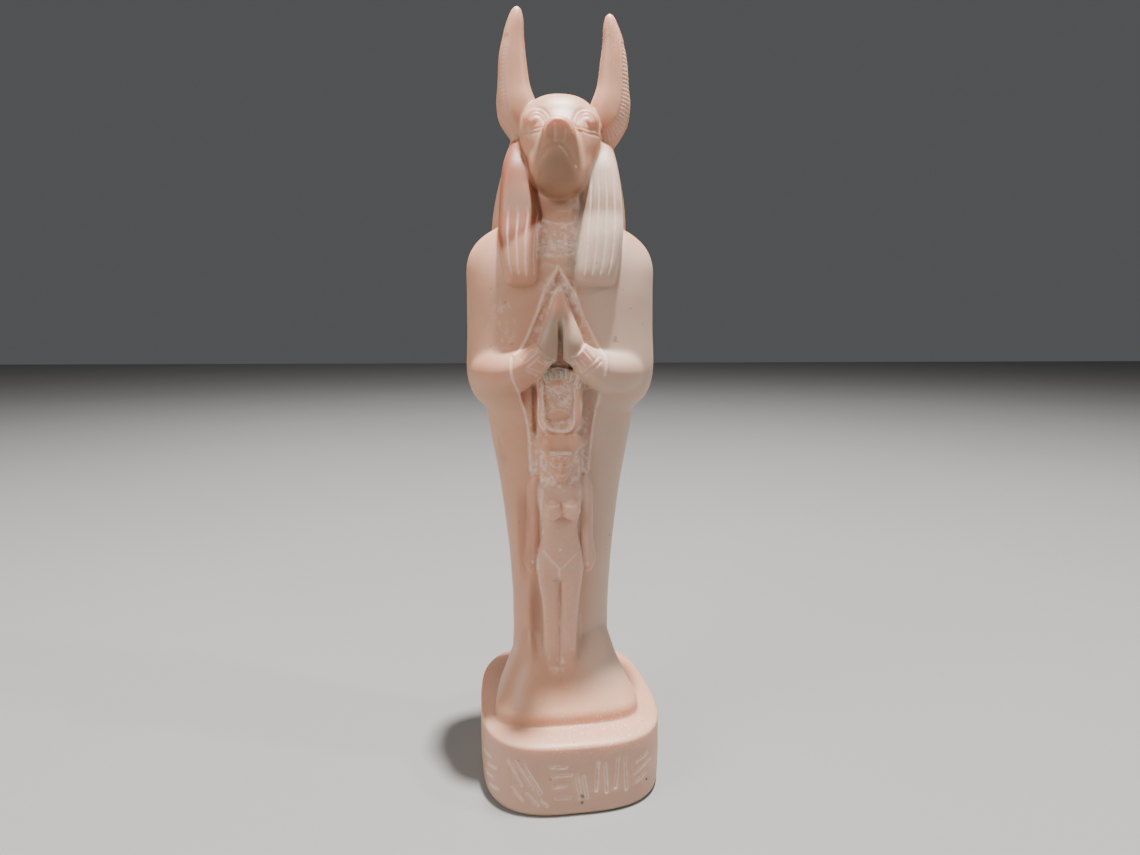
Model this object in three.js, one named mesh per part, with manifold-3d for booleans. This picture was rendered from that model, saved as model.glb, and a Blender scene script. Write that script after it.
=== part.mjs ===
// A standing jackal-headed figure in one block of pale stone, wrapped like a mummy, with a small goddess
// carved on its front. Units are millimetres. +Z is up, the figure faces -Y, and the origin is the middle of
// the underside.
import * as THREE from "three";
import { mergeVertices } from "three/addons/utils/BufferGeometryUtils.js";
import Module from "manifold-3d";

// Driving dimensions
const HEIGHT = 250; // table to the taller ear's tip
const PLINTH = { half: 29.8, depth: 36, top: 24.4, taper: 0.04, power: 3.1, round: 5.5, shift: 1.6, turn: 4.5 };
const SHOULDER_HALF = 30.4;
const BACK = 18; // the back's plane, behind the middle axis
const SKULL_TOP = 223.8;
const MUZZLE_TIP = -33.6;
const LAPPET_END = 163.6;
const ELBOW_UNDER = 124;
const OPENING_TOP = 169; // where the cloak's two edges meet
const CROWN_TOP = 137;
const GODDESS_FOOT = 44.5;
const LOCK_DEPTH = 0.6; // the grooves between locks of hair
const AXIS_X = -0.8; // the body stands a little to its right on the plinth
const FRONT_X = -1; // and what is carved on its front is a little further over

const TAU = 2 * Math.PI;

// A smooth curve through values[i] at the places 0, 1, 2 and so on.
function through(values, t) {
  const last = values.length - 1;
  const i = Math.min(Math.floor(t), last - 1);
  const f = t - i;
  const [p0, p1, p2, p3] = [-1, 0, 1, 2].map((k) => values[Math.max(0, Math.min(last, i + k))]);
  const bend = (2 * p0 - 5 * p1 + 4 * p2 - p3) * f * f + (3 * (p1 - p2) + p3 - p0) * f * f * f;
  return p1 + 0.5 * ((p2 - p0) * f + bend);
}

// The rows of a hand-set list, with this many smooth steps from each row to the next.
function smoothRows(rows, steps) {
  const count = (rows.length - 1) * steps;
  return Array.from({ length: count + 1 }, (_, k) =>
    rows[0].map((_, item) => through(rows.map((row) => row[item]), k / steps)),
  );
}

// A closed skin over rings of points: each ring has as many points, and both ends are closed by a fan.
function skin(rings) {
  const sides = rings[0].length;
  const points = rings.flat();
  const middle = (ring) => ring.reduce((sum, p) => sum.add(p), new THREE.Vector3()).divideScalar(sides);
  points.push(middle(rings[0]), middle(rings.at(-1)));
  const [low, high] = [points.length - 2, points.length - 1];
  const faces = [];
  for (let s = 0; s < sides; s++) {
    const n = (s + 1) % sides;
    faces.push(low, n, s);
    for (let r = 0; r < rings.length - 1; r++) {
      const [a, b] = [r * sides, (r + 1) * sides];
      faces.push(a + s, a + n, b + n, a + s, b + n, b + s);
    }
    const top = (rings.length - 1) * sides;
    faces.push(high, top + s, top + n);
  }
  const geometry = new THREE.BufferGeometry().setFromPoints(points);
  geometry.setIndex(faces);
  return geometry;
}

// Part way round a rounded square of the given power: 2 is an ellipse, and more is squarer.
function rounded(turn, power) {
  const soften = (v) => Math.sign(v) * Math.abs(v) ** (2 / power);
  return [soften(Math.cos(turn)), soften(Math.sin(turn))];
}

// A column of level slices. Each row is height, middle x, half width, y of its front and y of its back. Where
// locks is set, every third side is a groove between two locks of hair.
function column(rows, { sides, power, locks = 0 }) {
  const rings = rows.map(([z, x, half, front, back]) =>
    Array.from({ length: sides }, (_, k) => {
      const turn = (TAU * (k + 0.5)) / sides;
      const [u, v] = rounded(turn, power);
      const cut = k % 3 === 1 ? Math.min(locks, half / 3) : 0;
      const deep = (back - front) / 2;
      return new THREE.Vector3(x + (half - cut) * u, (front + back) / 2 + (deep - cut) * v, z);
    }),
  );
  return skin(rings);
}

// A head, as upright slices along its length. Each row is y, half width, top, bottom, and how much slimmer the
// slice is above its middle than below.
function snout(rows, { sides, power }) {
  const rings = rows.map(([y, half, top, bottom, slim]) =>
    Array.from({ length: sides }, (_, k) => {
      const [u, v] = rounded((TAU * (k + 0.5)) / sides, power);
      return new THREE.Vector3(half * u * (1 - slim * v), y, (top + bottom) / 2 + ((top - bottom) / 2) * v);
    }),
  );
  return skin(rings);
}

// A round bar along a path. Each row is x, y, z and radius, with this many smooth steps from each row to the
// next, and flat is the bar's depth as a share of its width.
function limb(rows, { sides = 12, steps = 1, flat = 1 }) {
  const line = smoothRows(rows, steps);
  const rings = line.map(([x, y, z, radius], i) => {
    const from = new THREE.Vector3(...line[Math.max(0, i - 1)]);
    const to = new THREE.Vector3(...line[Math.min(line.length - 1, i + 1)]);
    const along = to.sub(from).normalize();
    const forward = new THREE.Vector3(0, -1, 0);
    const depth = forward.addScaledVector(along, -forward.dot(along)).normalize();
    const across = new THREE.Vector3().crossVectors(along, depth);
    return Array.from({ length: sides }, (_, k) => {
      const turn = (TAU * k) / sides;
      return new THREE.Vector3(x, y, z)
        .addScaledVector(depth, radius * flat * Math.cos(turn))
        .addScaledVector(across, radius * Math.sin(turn));
    });
  });
  return skin(rings);
}

function egg([x, y, z], [rx, ry, rz], across, high) {
  return new THREE.SphereGeometry(1, across, high).rotateX(Math.PI / 2).scale(rx, ry, rz).translate(x, y, z);
}

function both(make) {
  return [make(-1), make(1)].flat();
}

// The block that the figure stands on: an oval with flattened ends, wider in front, and a rounded upper edge. It
// isn't quite square to the body, as hand carving leaves it.
function plinth() {
  const { half, depth, top, taper, power, round, shift, turn } = PLINTH;
  const sides = 40;
  const arcs = 4;
  const outline = (inset, z) =>
    Array.from({ length: sides }, (_, k) => {
      const [u, v] = rounded((TAU * (k + 0.5)) / sides, power);
      const wide = (half - inset) * (1 - taper * v);
      return new THREE.Vector3(wide * u, (depth - inset) * v, z);
    });
  const rings = [outline(1.1, 0), outline(0.3, 1.2), outline(0, 7)];
  for (let k = 0; k <= arcs; k++) {
    const bend = ((Math.PI / 2) * k) / arcs;
    rings.push(outline(round * (1 - Math.cos(bend)), top - round + round * Math.sin(bend)));
  }
  return skin(rings).rotateZ((turn * Math.PI) / 180).translate(shift, 0, 0);
}

// The toes' wedge: wide and low in front, and running up into the shins.
function footWedge() {
  const floor = PLINTH.top;
  const rows = [
    [floor - 4, 0.4, 24.4, -27, 16],
    [floor + 1.5, 0.4, 24.6, -27.4, 17],
    [floor + 4.4, 0.3, 23.8, -26.2, 17.6],
    [floor + 6.4, 0.2, 22.2, -23.6, 18],
    [floor + 9.6, 0, 20, -20, BACK],
    [floor + 15, 0, 17.9, -17, BACK],
    [floor + 24, 0, 16.2, -14.4, BACK - 0.2],
    [floor + 30, 0, 12, -10, BACK - 3],
  ];
  return column(rows, { sides: 28, power: 2.7 });
}

// The wrapped legs and belly, up to under the elbows.
function lowerBody() {
  const rows = [
    [PLINTH.top + 2, 0, 19.6, -17, BACK],
    [38.5, 0, 17.6, -15.6, BACK],
    [50, 0, 16.5, -14, BACK - 0.4],
    [64, 0, 16.9, -14, BACK - 0.8],
    [80, 0, 18.1, -14.6, BACK - 0.6],
    [98, 0, 20.2, -15.6, BACK],
    [114, 0, 22.9, -16.8, BACK],
    [126, 0, 24.8, -17.6, BACK],
    [140, 0, 25.6, -17.6, BACK - 0.4],
  ];
  return column(rows, { sides: 28, power: 2.35 });
}

// Shoulders, upper arms and elbows under the cloak.
function upperBody() {
  const w = SHOULDER_HALF;
  const rows = [
    [ELBOW_UNDER - 0.6, 0, w - 7.6, -14.6, BACK - 2],
    [ELBOW_UNDER + 2.2, 0, w - 4.6, -17.2, BACK - 0.4],
    [ELBOW_UNDER + 6, 0, w - 1.4, -18.8, BACK + 0.4],
    [ELBOW_UNDER + 13, 0, w + 0.3, -19.6, BACK + 0.8],
    [150, 0, w, -18.8, BACK + 0.8],
    [163, 0, w - 0.1, -17, BACK + 0.8],
    [171, 0, w - 0.2, -15.4, BACK + 0.4],
    [176.5, 0, w - 2.3, -13.8, BACK - 0.8],
    [181, 0, w - 7, -11.6, BACK - 3.5],
    [185, 0, w - 15, -8.6, BACK - 7],
  ];
  return column(rows, { sides: 32, power: 2.9 });
}

// The wig's bell round the back and sides of the head, in upright locks.
function wig() {
  const rows = [
    [168, 0, 17.6, -2, BACK + 1.6],
    [170.5, 0, 20.4, -6, BACK + 2.4],
    [177, 0, 21.8, -9, BACK + 2.4],
    [184, 0, 22.1, -10, BACK + 1.8],
    [193, 0.3, 20.9, -8.8, BACK + 0.4],
    [200, 0.6, 19.4, -7.6, BACK - 0.8],
    [207, 0.8, 17.6, -6.6, BACK - 1.6],
    [213, 0.8, 15.8, -5.6, BACK - 2.6],
    [218, 0.6, 12.9, -4, BACK - 4.2],
    [221.6, 0.3, 9, -1.6, BACK - 7],
    [223.4, 0, 4, 1.5, BACK - 11],
  ];
  return column(rows, { sides: 48, power: 2.2, locks: LOCK_DEPTH });
}

// One of the two lappets that fall from the wig on to the chest, in upright locks.
function lappet(side) {
  const rows = [
    [LAPPET_END, side * 11.4, 4.8, -18, -12],
    [LAPPET_END + 1.2, side * 11.5, 5.8, -19.4, -11],
    [LAPPET_END + 3.4, side * 11.6, 6.1, -19.9, -11],
    [LAPPET_END + 8, side * 12, 6.3, -19.6, -10],
    [LAPPET_END + 15, side * 12.7, 6.5, -18.4, -8],
    [LAPPET_END + 23, side * 13.5 + 0.4, 6.5, -15.8, -5],
    [LAPPET_END + 32, side * 13.9 + 1, 5.4, -11.8, -2],
    [LAPPET_END + 40, side * 13 + 1.6, 3.6, -8.4, 0],
  ];
  return column(rows, { sides: 30, power: 3.2, locks: LOCK_DEPTH });
}

// Skull and muzzle in one, from the nape to the nose. The muzzle's front face slopes back down to the jaw.
function head() {
  const rows = [
    [12, 5, 216, 200, 0],
    [7, 10.6, SKULL_TOP - 2, 194, 0],
    [2, 12.3, SKULL_TOP, 191, -0.04],
    [-3, 12.7, SKULL_TOP - 0.2, 190.6, -0.06],
    [-7, 12.2, SKULL_TOP - 1.8, 190.6, -0.06],
    [-10, 11, SKULL_TOP - 4.6, 190.8, -0.04],
    [-12, 9, SKULL_TOP - 7.8, 191, 0.04],
    [-15, 7.4, SKULL_TOP - 10.8, 191.4, 0.12],
    [-20, 6.6, SKULL_TOP - 12.6, 192.4, 0.16],
    [-24.5, 6, SKULL_TOP - 13.6, 194.2, 0.18],
    [-28, 5.3, SKULL_TOP - 14.4, 196.9, 0.18],
    [MUZZLE_TIP + 2.6, 4.4, SKULL_TOP - 15.2, 200.2, 0.15],
    [MUZZLE_TIP + 0.6, 3.2, SKULL_TOP - 15.8, 203.4, 0.1],
    [MUZZLE_TIP, 1.8, SKULL_TOP - 16.6, 205.4, 0],
  ];
  return snout(rows, { sides: 22, power: 2.25 });
}

// A tall ear. Its outer edge bows out, and its foot swells into the wig.
function ear(side) {
  const lean = 1.3; // both ears stand a little to the figure's left
  const drop = side < 0 ? 0 : 1.4; // the figure's left ear is the shorter
  const at = (x) => lean + side * x;
  const rows = [
    [206.5, at(12.4), 3.2, -2.4, 4],
    [210, at(13.4), 4.8, -4.4, 6],
    [215, at(14.6), 6.1, -5.2, 6.6],
    [221, at(15), 6.5, -5, 6],
    [227, at(15.9), 5.3, -4.1, 4.8],
    [235, at(16.1), 4.4, -3.2, 3.7],
    [241 - drop / 2, at(15.8), 3.4, -2.4, 2.9],
    [246 - drop, at(15.1), 2.3, -1.6, 2.1],
    [248.9 - drop, at(14.7), 1.4, -0.8, 1.3],
    [HEIGHT - drop, at(14.6), 0.5, 0, 0.6],
  ];
  return column(rows, { sides: 14, power: 2.1 });
}

// The raised rim that rings the eye, with the eyeball in it.
function eye(side) {
  const rim = egg([side * 7.6, -8.8, 213.4], [4.3, 2.8, 4.2], 14, 8);
  const ball = egg([side * 7.7, -10.2, 212.9], [2.7, 2.1, 2.2], 10, 6);
  return [rim, ball];
}

// The forearm from the elbow, rising to the middle, and the hand pressed against its fellow, fingers up.
function arm(side) {
  const forearm = limb(
    [
      [side * 24, -3, 138, 6],
      [side * 19.5, -11.6, 137, 8],
      [side * 13.6, -16.6, 137.6, 6.8],
      [side * 8.6, -19.8, 140.2, 5],
      [side * 4.4, -21.8, 144, 3.8],
    ],
    { steps: 2 },
  );
  const hand = limb(
    [
      [side * 3.4, -20.4, 141, 1.4],
      [side * 3.2, -21.6, 142.4, 3],
      [side * 3.2, -22.2, 146, 3.5],
      [side * 2.8, -21.4, 150.4, 3.1],
      [side * 1.8, -19.6, 155, 2.1],
      [side * 0.8, -18.4, 158.6, 1.1],
      [side * 0.4, -17.8, 159.8, 0.6],
    ],
    {},
  );
  return [forearm, hand];
}

// What the cloak's open front is cut by: a wedge round the hands, and the tall niche below them.
function openingCuts() {
  const ahead = -30;
  const wedge = [
    [136, 0, 14.6, ahead, -17.4],
    [141.5, 0, 13.8, ahead, -17.4],
    [155, 0, 6.8, ahead, -16.6],
    [OPENING_TOP - 1, 0, 0.6, ahead, -15.2],
  ];
  const niche = [
    [101, 0, 8.4, ahead, -16],
    [108, 0, 9.6, ahead, -14.6],
    [120, 0, 10.4, ahead, -14.4],
    [126, 0, 11.6, ahead, -14.4],
    [CROWN_TOP + 2, 0, 13, ahead, -14.4],
  ];
  return [wedge, niche].map((rows) => column(rows, { sides: 12, power: 12 }));
}

// The goddess: legs together, arms straight down, and hair falling to her breasts.
function goddess() {
  const foot = GODDESS_FOOT;
  const inside = -12; // how far back her pieces run into the body
  const leg = (side) =>
    column(
      [
        [foot, side * 2.6, 2, -22, inside - 2],
        [foot + 1.6, side * 2.7, 2.6, -22.2, inside - 1],
        [foot + 4, side * 2.7, 2.5, -19.8, inside],
        [foot + 9, side * 2.8, 2.7, -19, inside],
        [foot + 17, side * 3.1, 3, -19.4, inside],
        [foot + 26, side * 3.5, 3.7, -20.2, inside],
        [foot + 32, side * 3.5, 3.7, -20.4, inside],
      ],
      { sides: 12, power: 2.3 },
    );
  const torso = column(
    [
      [foot + 22, 0, 3, -15, inside],
      [foot + 27.6, 0, 6.9, -20.4, inside],
      [foot + 32, 0, 7.3, -21, inside],
      [foot + 37, 0, 6.2, -21, inside],
      [foot + 43, 0, 4.9, -20.4, inside],
      [foot + 48, 0, 5.7, -20.8, inside],
      [foot + 53, 0, 6.8, -20.8, inside],
      [foot + 56.5, 0, 7.6, -20, inside],
      [foot + 59, 0, 5.6, -19, inside],
    ],
    { sides: 16, power: 2.4 },
  );
  const sideArm = (side) =>
    limb(
      [
        [side * 6.8, -15.6, foot + 58.4, 1.4],
        [side * 8, -16.4, foot + 55.8, 2.3],
        [side * 8.3, -16.6, foot + 48, 2.3],
        [side * 8.2, -16.6, foot + 40, 2.1],
        [side * 8.7, -16.8, foot + 34, 2.1],
        [side * 9, -17, foot + 31.2, 2.1],
        [side * 8.6, -16.8, foot + 28.8, 1],
      ],
      { sides: 10, flat: 1.4 },
    );
  const hair = column(
    [
      [foot + 50, 0, 4.6, -16, inside],
      [foot + 53.5, 0, 6, -19.4, inside],
      [foot + 58, 0, 6.8, -19.2, inside],
      [foot + 64, 0, 6.6, -18.2, inside],
      [foot + 70, 0, 5.8, -17.4, inside],
    ],
    { sides: 14, power: 3 },
  );
  const breast = (side) => egg([side * 3.5, -20, foot + 49.4], [3.1, 2.2, 2.8], 10, 6);
  const face = egg([0, -19.6, foot + 64.4], [3.9, 3.6, 5], 12, 8);
  return [torso, hair, face, ...both(leg), ...both(sideArm), ...both(breast)];
}

// Her headdress: a cushion-shaped cap, and two horns round a sun disc, on a slab that stands in the niche.
function crown() {
  const cap = egg([0, -18.4, 115], [6.5, 5.2, 3.1], 14, 8);
  const slab = column(
    [
      [116.5, 0, 3.4, -19.2, -12],
      [121, 0, 5.4, -19.2, -12],
      [129, 0, 6.2, -19.4, -12],
      [CROWN_TOP - 0.4, 0, 6, -19.6, -12],
    ],
    { sides: 12, power: 4 },
  );
  const horn = (side) =>
    limb(
      [
        [side * 0.2, -19, 118.6, 0.9],
        [side * 3, -19.2, 119.4, 1],
        [side * 5.2, -19.4, 122.6, 1.1],
        [side * 5.9, -19.5, 128, 1.1],
        [side * 5.7, -19.6, 133, 1],
        [side * 5.6, -19.6, CROWN_TOP - 0.8, 0.6],
      ],
      { sides: 8 },
    );
  const disc = egg([-0.4, -19, 125], [3.8, 1.5, 2.9], 12, 6);
  return [cap, slab, disc, ...both(horn)];
}

const wasm = await Module();
wasm.setup();

// A closed geometry as a solid that can be joined to others.
function solid(geometry) {
  const bare = new THREE.BufferGeometry().setAttribute("position", geometry.getAttribute("position"));
  bare.setIndex(geometry.index);
  const merged = mergeVertices(bare, 1e-4);
  return new wasm.Manifold(
    new wasm.Mesh({
      numProp: 3,
      vertProperties: merged.attributes.position.array,
      triVerts: new Uint32Array(merged.index.array),
    }),
  );
}

function geometryOf(made) {
  const mesh = made.getMesh();
  const geometry = new THREE.BufferGeometry();
  geometry.setAttribute("position", new THREE.BufferAttribute(new Float32Array(mesh.vertProperties), 3));
  geometry.setIndex(new THREE.BufferAttribute(new Uint32Array(mesh.triVerts), 1));
  geometry.computeVertexNormals();
  return geometry;
}

function statue() {
  const join = (forms) => forms.map(solid).reduce((sum, form) => sum.add(form));
  const onFront = (forms) => forms.map((form) => form.translate(FRONT_X, 0, 0));
  const body = join([plinth(), footWedge(), lowerBody(), upperBody()]);
  const opened = onFront(openingCuts()).reduce((left, cut) => left.subtract(solid(cut)), body);
  const top = join([wig(), head(), ...both(ear), ...both(eye)]);
  const relief = join(onFront([...both(lappet), ...both(arm), ...goddess(), ...crown()]));
  const stone = new THREE.MeshStandardMaterial({ color: 0xd8b8a4, roughness: 0.42, metalness: 0 });
  const mesh = new THREE.Mesh(geometryOf(opened.add(top).add(relief)).translate(AXIS_X, 0, 0), stone);
  mesh.name = "statue";
  return mesh;
}

const figure = new THREE.Group();
figure.add(statue());
export default figure;
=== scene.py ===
"""The stone statue, dressed for its picture. Its masses are drawn up again from the solid's own sizes,
fused into one block, softened as by hand rubbing, and then carved. Lengths are millimetres until MM
scales them. The figure faces -Y, and left and right are the viewer's."""

import math

import bpy
import numpy as np
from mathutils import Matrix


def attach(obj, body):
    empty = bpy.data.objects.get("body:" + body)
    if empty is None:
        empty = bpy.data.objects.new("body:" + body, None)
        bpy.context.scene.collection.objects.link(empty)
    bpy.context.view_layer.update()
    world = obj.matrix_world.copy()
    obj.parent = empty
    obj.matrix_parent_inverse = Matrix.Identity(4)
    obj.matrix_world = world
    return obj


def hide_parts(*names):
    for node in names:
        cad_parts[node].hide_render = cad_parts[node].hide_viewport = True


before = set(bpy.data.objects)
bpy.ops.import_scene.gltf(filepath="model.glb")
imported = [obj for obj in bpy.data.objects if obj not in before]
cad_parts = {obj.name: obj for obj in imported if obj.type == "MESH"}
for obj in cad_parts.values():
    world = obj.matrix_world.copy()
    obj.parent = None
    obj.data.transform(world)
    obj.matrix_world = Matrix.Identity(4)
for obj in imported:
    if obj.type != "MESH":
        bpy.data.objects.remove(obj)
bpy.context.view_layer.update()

MM = 0.001
FINE_GRAIN = 0.3
GRAIN = FINE_GRAIN  # the voxels that the block is fused at
TRIANGLES = 194_000
AXIS_X = -0.8  # the body's middle
FRONT_X = -1.0  # what is carved on the front is a little further over still
PLINTH_TOP = 24.4
SHOULDER = 30.4
SKULL_TOP = 223.8
LAPPET_END = 163.6
FOOT = 44.5  # the goddess's soles


# Masses


def through(values, t):
    """A smooth curve through values[i] at the places 0, 1, 2 and so on."""
    last = len(values) - 1
    i = min(int(t), last - 1)
    f = t - i
    p0, p1, p2, p3 = (values[max(0, min(last, i + k))] for k in (-1, 0, 1, 2))
    bend = (2 * p0 - 5 * p1 + 4 * p2 - p3) * f * f + (3 * (p1 - p2) + p3 - p0) * f**3
    return p1 + 0.5 * ((p2 - p0) * f + bend)


def smooth_rows(rows, steps):
    count = (len(rows) - 1) * steps
    table = np.array(rows, float)
    return [through(table, k / steps) for k in range(count + 1)]


def soften(value, power):
    return math.copysign(abs(value) ** (2 / power), value)


def pick(piece):
    bpy.ops.object.select_all(action="DESELECT")
    piece.select_set(True)
    bpy.context.view_layer.objects.active = piece


def apply_place():
    bpy.ops.object.transform_apply(location=True, rotation=True, scale=True)


def column(rows, power=2.4, slim=0.0, sides=72, steps=5):
    """A closed form drawn up from a rounded outline. Each row is height, middle x, half width, and the y of
    its front and back. slim makes its back narrower than its front."""
    line = smooth_rows(rows, steps)
    z, x, half, front, back = line[0]
    bpy.ops.object.select_all(action="DESELECT")
    bpy.ops.mesh.primitive_circle_add(vertices=sides, radius=1, fill_type="NGON")
    piece = bpy.context.object
    for corner in piece.data.vertices:
        u, v = soften(corner.co.x, power), soften(corner.co.y, power)
        corner.co = (u * (1 - slim * v), v, 0)
    piece.scale = (half * MM, (back - front) / 2 * MM, 1)
    piece.location = (x * MM, (front + back) / 2 * MM, z * MM)
    apply_place()
    bpy.ops.object.mode_set(mode="EDIT")
    bpy.ops.mesh.select_all(action="SELECT")
    for here, there in zip(line, line[1:]):
        middle = [(row[1] * MM, (row[3] + row[4]) / 2 * MM, row[0] * MM) for row in (here, there)]
        rise = [b - a for a, b in zip(*middle)]
        grow = (there[2] / here[2], (there[4] - there[3]) / (here[4] - here[3]), 1)
        bpy.ops.mesh.extrude_region_move(TRANSFORM_OT_translate={"value": rise})
        bpy.ops.transform.resize(value=grow, center_override=middle[1])
    bpy.ops.mesh.select_all(action="SELECT")
    bpy.ops.mesh.normals_make_consistent(inside=False)
    bpy.ops.object.mode_set(mode="OBJECT")
    return piece


def bar(rows, flat=1.0, steps=5):
    """A round bar along a path. Each row is x, y, z and radius. flat is its depth over its width."""
    line = smooth_rows(rows, steps)
    curve = bpy.data.curves.new("bar", "CURVE")
    curve.dimensions = "3D"
    curve.bevel_depth = MM
    curve.bevel_resolution = 6
    curve.use_fill_caps = True
    path = curve.splines.new("POLY")
    path.points.add(len(line) - 1)
    for point, (x, y, z, radius) in zip(path.points, line):
        point.co = (x * MM, y * MM, z * MM, 1)
        point.radius = radius
    piece = bpy.data.objects.new("bar", curve)
    bpy.context.scene.collection.objects.link(piece)
    pick(piece)
    bpy.ops.object.convert(target="MESH")
    piece = bpy.context.object
    if flat != 1:
        middle = sum(row[1] for row in rows) / len(rows) * MM
        bpy.ops.object.mode_set(mode="EDIT")
        bpy.ops.mesh.select_all(action="SELECT")
        bpy.ops.transform.resize(value=(1, flat, 1), center_override=(0, middle, 0))
        bpy.ops.object.mode_set(mode="OBJECT")
    return piece


def egg(middle, radii):
    bpy.ops.object.select_all(action="DESELECT")
    bpy.ops.mesh.primitive_uv_sphere_add(segments=40, ring_count=24, radius=1)
    piece = bpy.context.object
    piece.scale = [r * MM for r in radii]
    piece.location = [m * MM for m in middle]
    apply_place()
    return piece


def both(make):
    made = []
    for side in (-1, 1):
        piece = make(side)
        made += piece if isinstance(piece, list) else [piece]
    return made


def shift(pieces, x):
    for piece in pieces:
        pick(piece)
        piece.location.x += x * MM
        apply_place()
    return pieces


def finish_with(piece, kind, **settings):
    pick(piece)
    modifier = piece.modifiers.new(kind.lower(), kind)
    for key, value in settings.items():
        setattr(modifier, key, value)
    bpy.ops.object.modifier_apply(modifier=modifier.name)


PLINTH_TURN = math.radians(4.5)


def turned(piece):
    """The plinth, and the feet on it, stand a little askew under the body."""
    piece.rotation_euler.z = PLINTH_TURN
    apply_place()
    return piece


def plinth():
    half, deep, aside = 29.8, 36, 1.6
    round_in, round_down, arcs = 4.8, 1.7, 9  # its upper edge
    inset_rows = [(0, 1.1), (1.2, 0.3), (7, 0)]
    for k in range(arcs + 1):
        bend = math.pi / 2 * k / arcs
        z = PLINTH_TOP - round_down * (1 - math.sin(bend))
        inset_rows.append((z, round_in * (1 - math.cos(bend))))
    rows = [(z, 0, half - inset, inset - deep, deep - inset) for z, inset in inset_rows]
    return shift([turned(column(rows, power=3.1, slim=0.04, sides=120, steps=1))], aside)[0]


FOOT_WEDGE = [
    (PLINTH_TOP - 4, 0.2, 22.6, -25.8, 16),
    (PLINTH_TOP + 2, 0.2, 22.7, -26.2, 16.4),
    (PLINTH_TOP + 4, 0.2, 22.4, -25.6, 16.6),
    (PLINTH_TOP + 5.6, 0.2, 21.5, -24.2, 16.8),
    (PLINTH_TOP + 9, 0.2, 19.9, -21.6, 17),
    (PLINTH_TOP + 13, 0.2, 18, -19.2, 17.4),
    (PLINTH_TOP + 17, 0.4, 16.3, -17.2, 17.6),
    (PLINTH_TOP + 21, 0.3, 15.2, -15.5, 17.6),
    (PLINTH_TOP + 25, 0.2, 13.8, -13.6, 17),
    (PLINTH_TOP + 29, 0, 11, -10, 15),
]
LOWER_BODY = [
    (26.4, 0, 18.2, -16, 18),
    (38.5, 0, 16.8, -15, 18),
    (50, 0, 16.5, -14, 17.6),
    (64, 0, 16.9, -14, 17.2),
    (80, 0, 18.1, -14.6, 17.4),
    (98, 0, 20.2, -15.6, 18),
    (114, 0, 22.9, -16.8, 18),
    (126, 0, 24.8, -17.6, 18),
    (140, 0, 25.6, -17.6, 17.6),
]
UPPER_BODY = [
    (123.4, 0, SHOULDER - 7.6, -14.6, 16),
    (126.2, 0, SHOULDER - 4.6, -17.2, 17.6),
    (130, 0, SHOULDER - 1.4, -18.8, 18.4),
    (137, 0, SHOULDER + 0.3, -19.6, 18.8),
    (150, 0, SHOULDER, -18.6, 18.8),
    (163, 0, SHOULDER - 0.1, -17.8, 18.8),
    (171, 0, SHOULDER - 0.2, -16.4, 18.4),
    (176.5, 0, SHOULDER - 2.3, -14.4, 17.2),
    (181, 0, SHOULDER - 7, -11.6, 14.5),
    (185, 0, SHOULDER - 15, -8.6, 11),
]
WIG = [
    (168, 0, 17.6, -2, 19.6),
    (170.5, 0, 20.4, -6, 20.4),
    (177, 0, 21.8, -9.4, 20.4),
    (184, 0, 22.1, -10.8, 19.8),
    (193, 0.3, 20.9, -10.6, 18.4),
    (200, 0.6, 19.4, -9.6, 17.2),
    (207, 0.8, 17.6, -7.6, 16.4),
    (213, 0.8, 15.8, -5.6, 15.4),
    (218, 0.6, 12.9, -4, 13.8),
    (221.6, 0.3, 9, -1.6, 11),
    (223.4, 0, 4, 1.5, 7),
]
COLLAR = [
    (163, -0.8, 8, -16.4, -8),
    (170, -0.8, 9, -16.2, -8),
    (175, -0.9, 9, -15.4, -6),
    (177.4, -1, 9, -14.7, -6),
    (183, -1, 8.6, -13.8, -4),
    (188, -1, 8, -12.8, -2),
    (193, -1, 6.4, -11, 0),
]
# what the cloak's open front is cut by
WEDGE = [
    (136, 0, 14.6, -30, -18.5),
    (141.5, 0, 13.8, -30, -18.7),
    (155, 0, 6.8, -30, -17.8),
    (168, 0, 0.6, -30, -15.9),
]
NICHE = [
    (101, 0, 8.4, -30, -16.2),
    (108, 0, 9.6, -30, -15.5),
    (120, 0, 10.4, -30, -15.7),
    (126, 0, 11.6, -30, -16),
    (139, 0, 13, -30, -16.2),
]


def lappet_rows(side):
    """The left one is narrower than the right, and bulges inwards at the collar."""
    if side < 0:
        across = [(-11.8, 3.8), (-11.9, 4.7), (-11.9, 5), (-12.3, 5.3), (-12.5, 6), (-11.8, 6.6)]
        across += [(-12.4, 5.6), (-12.6, 4.6), (-12.3, 3.6), (-11.8, 2.7), (-11.4, 1.6)]
    else:
        across = [(11.3, 4.9), (11.3, 5.9), (11.3, 6.3), (12, 6.7), (13, 6.8), (13.5, 6.6)]
        across += [(13.9, 6), (14, 5.1), (13.9, 4.4), (13.8, 3.4), (13.8, 2)]
    rows = [
        (0, -18, -12),
        (1.2, -19.4, -11),
        (3.4, -19.9, -11),
        (8, -19.6, -10),
        (15, -18.4, -8),
        (21.5, -16, -5.6),
        (30, -13, -2),
        (37, -10.4, 0),
        (42, -7, 1),
        (46, -3.8, 2),
        (48, -1, 3),
    ]
    return [(LAPPET_END + z, x, half, front, back) for (x, half), (z, front, back) in zip(across, rows)]


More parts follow.
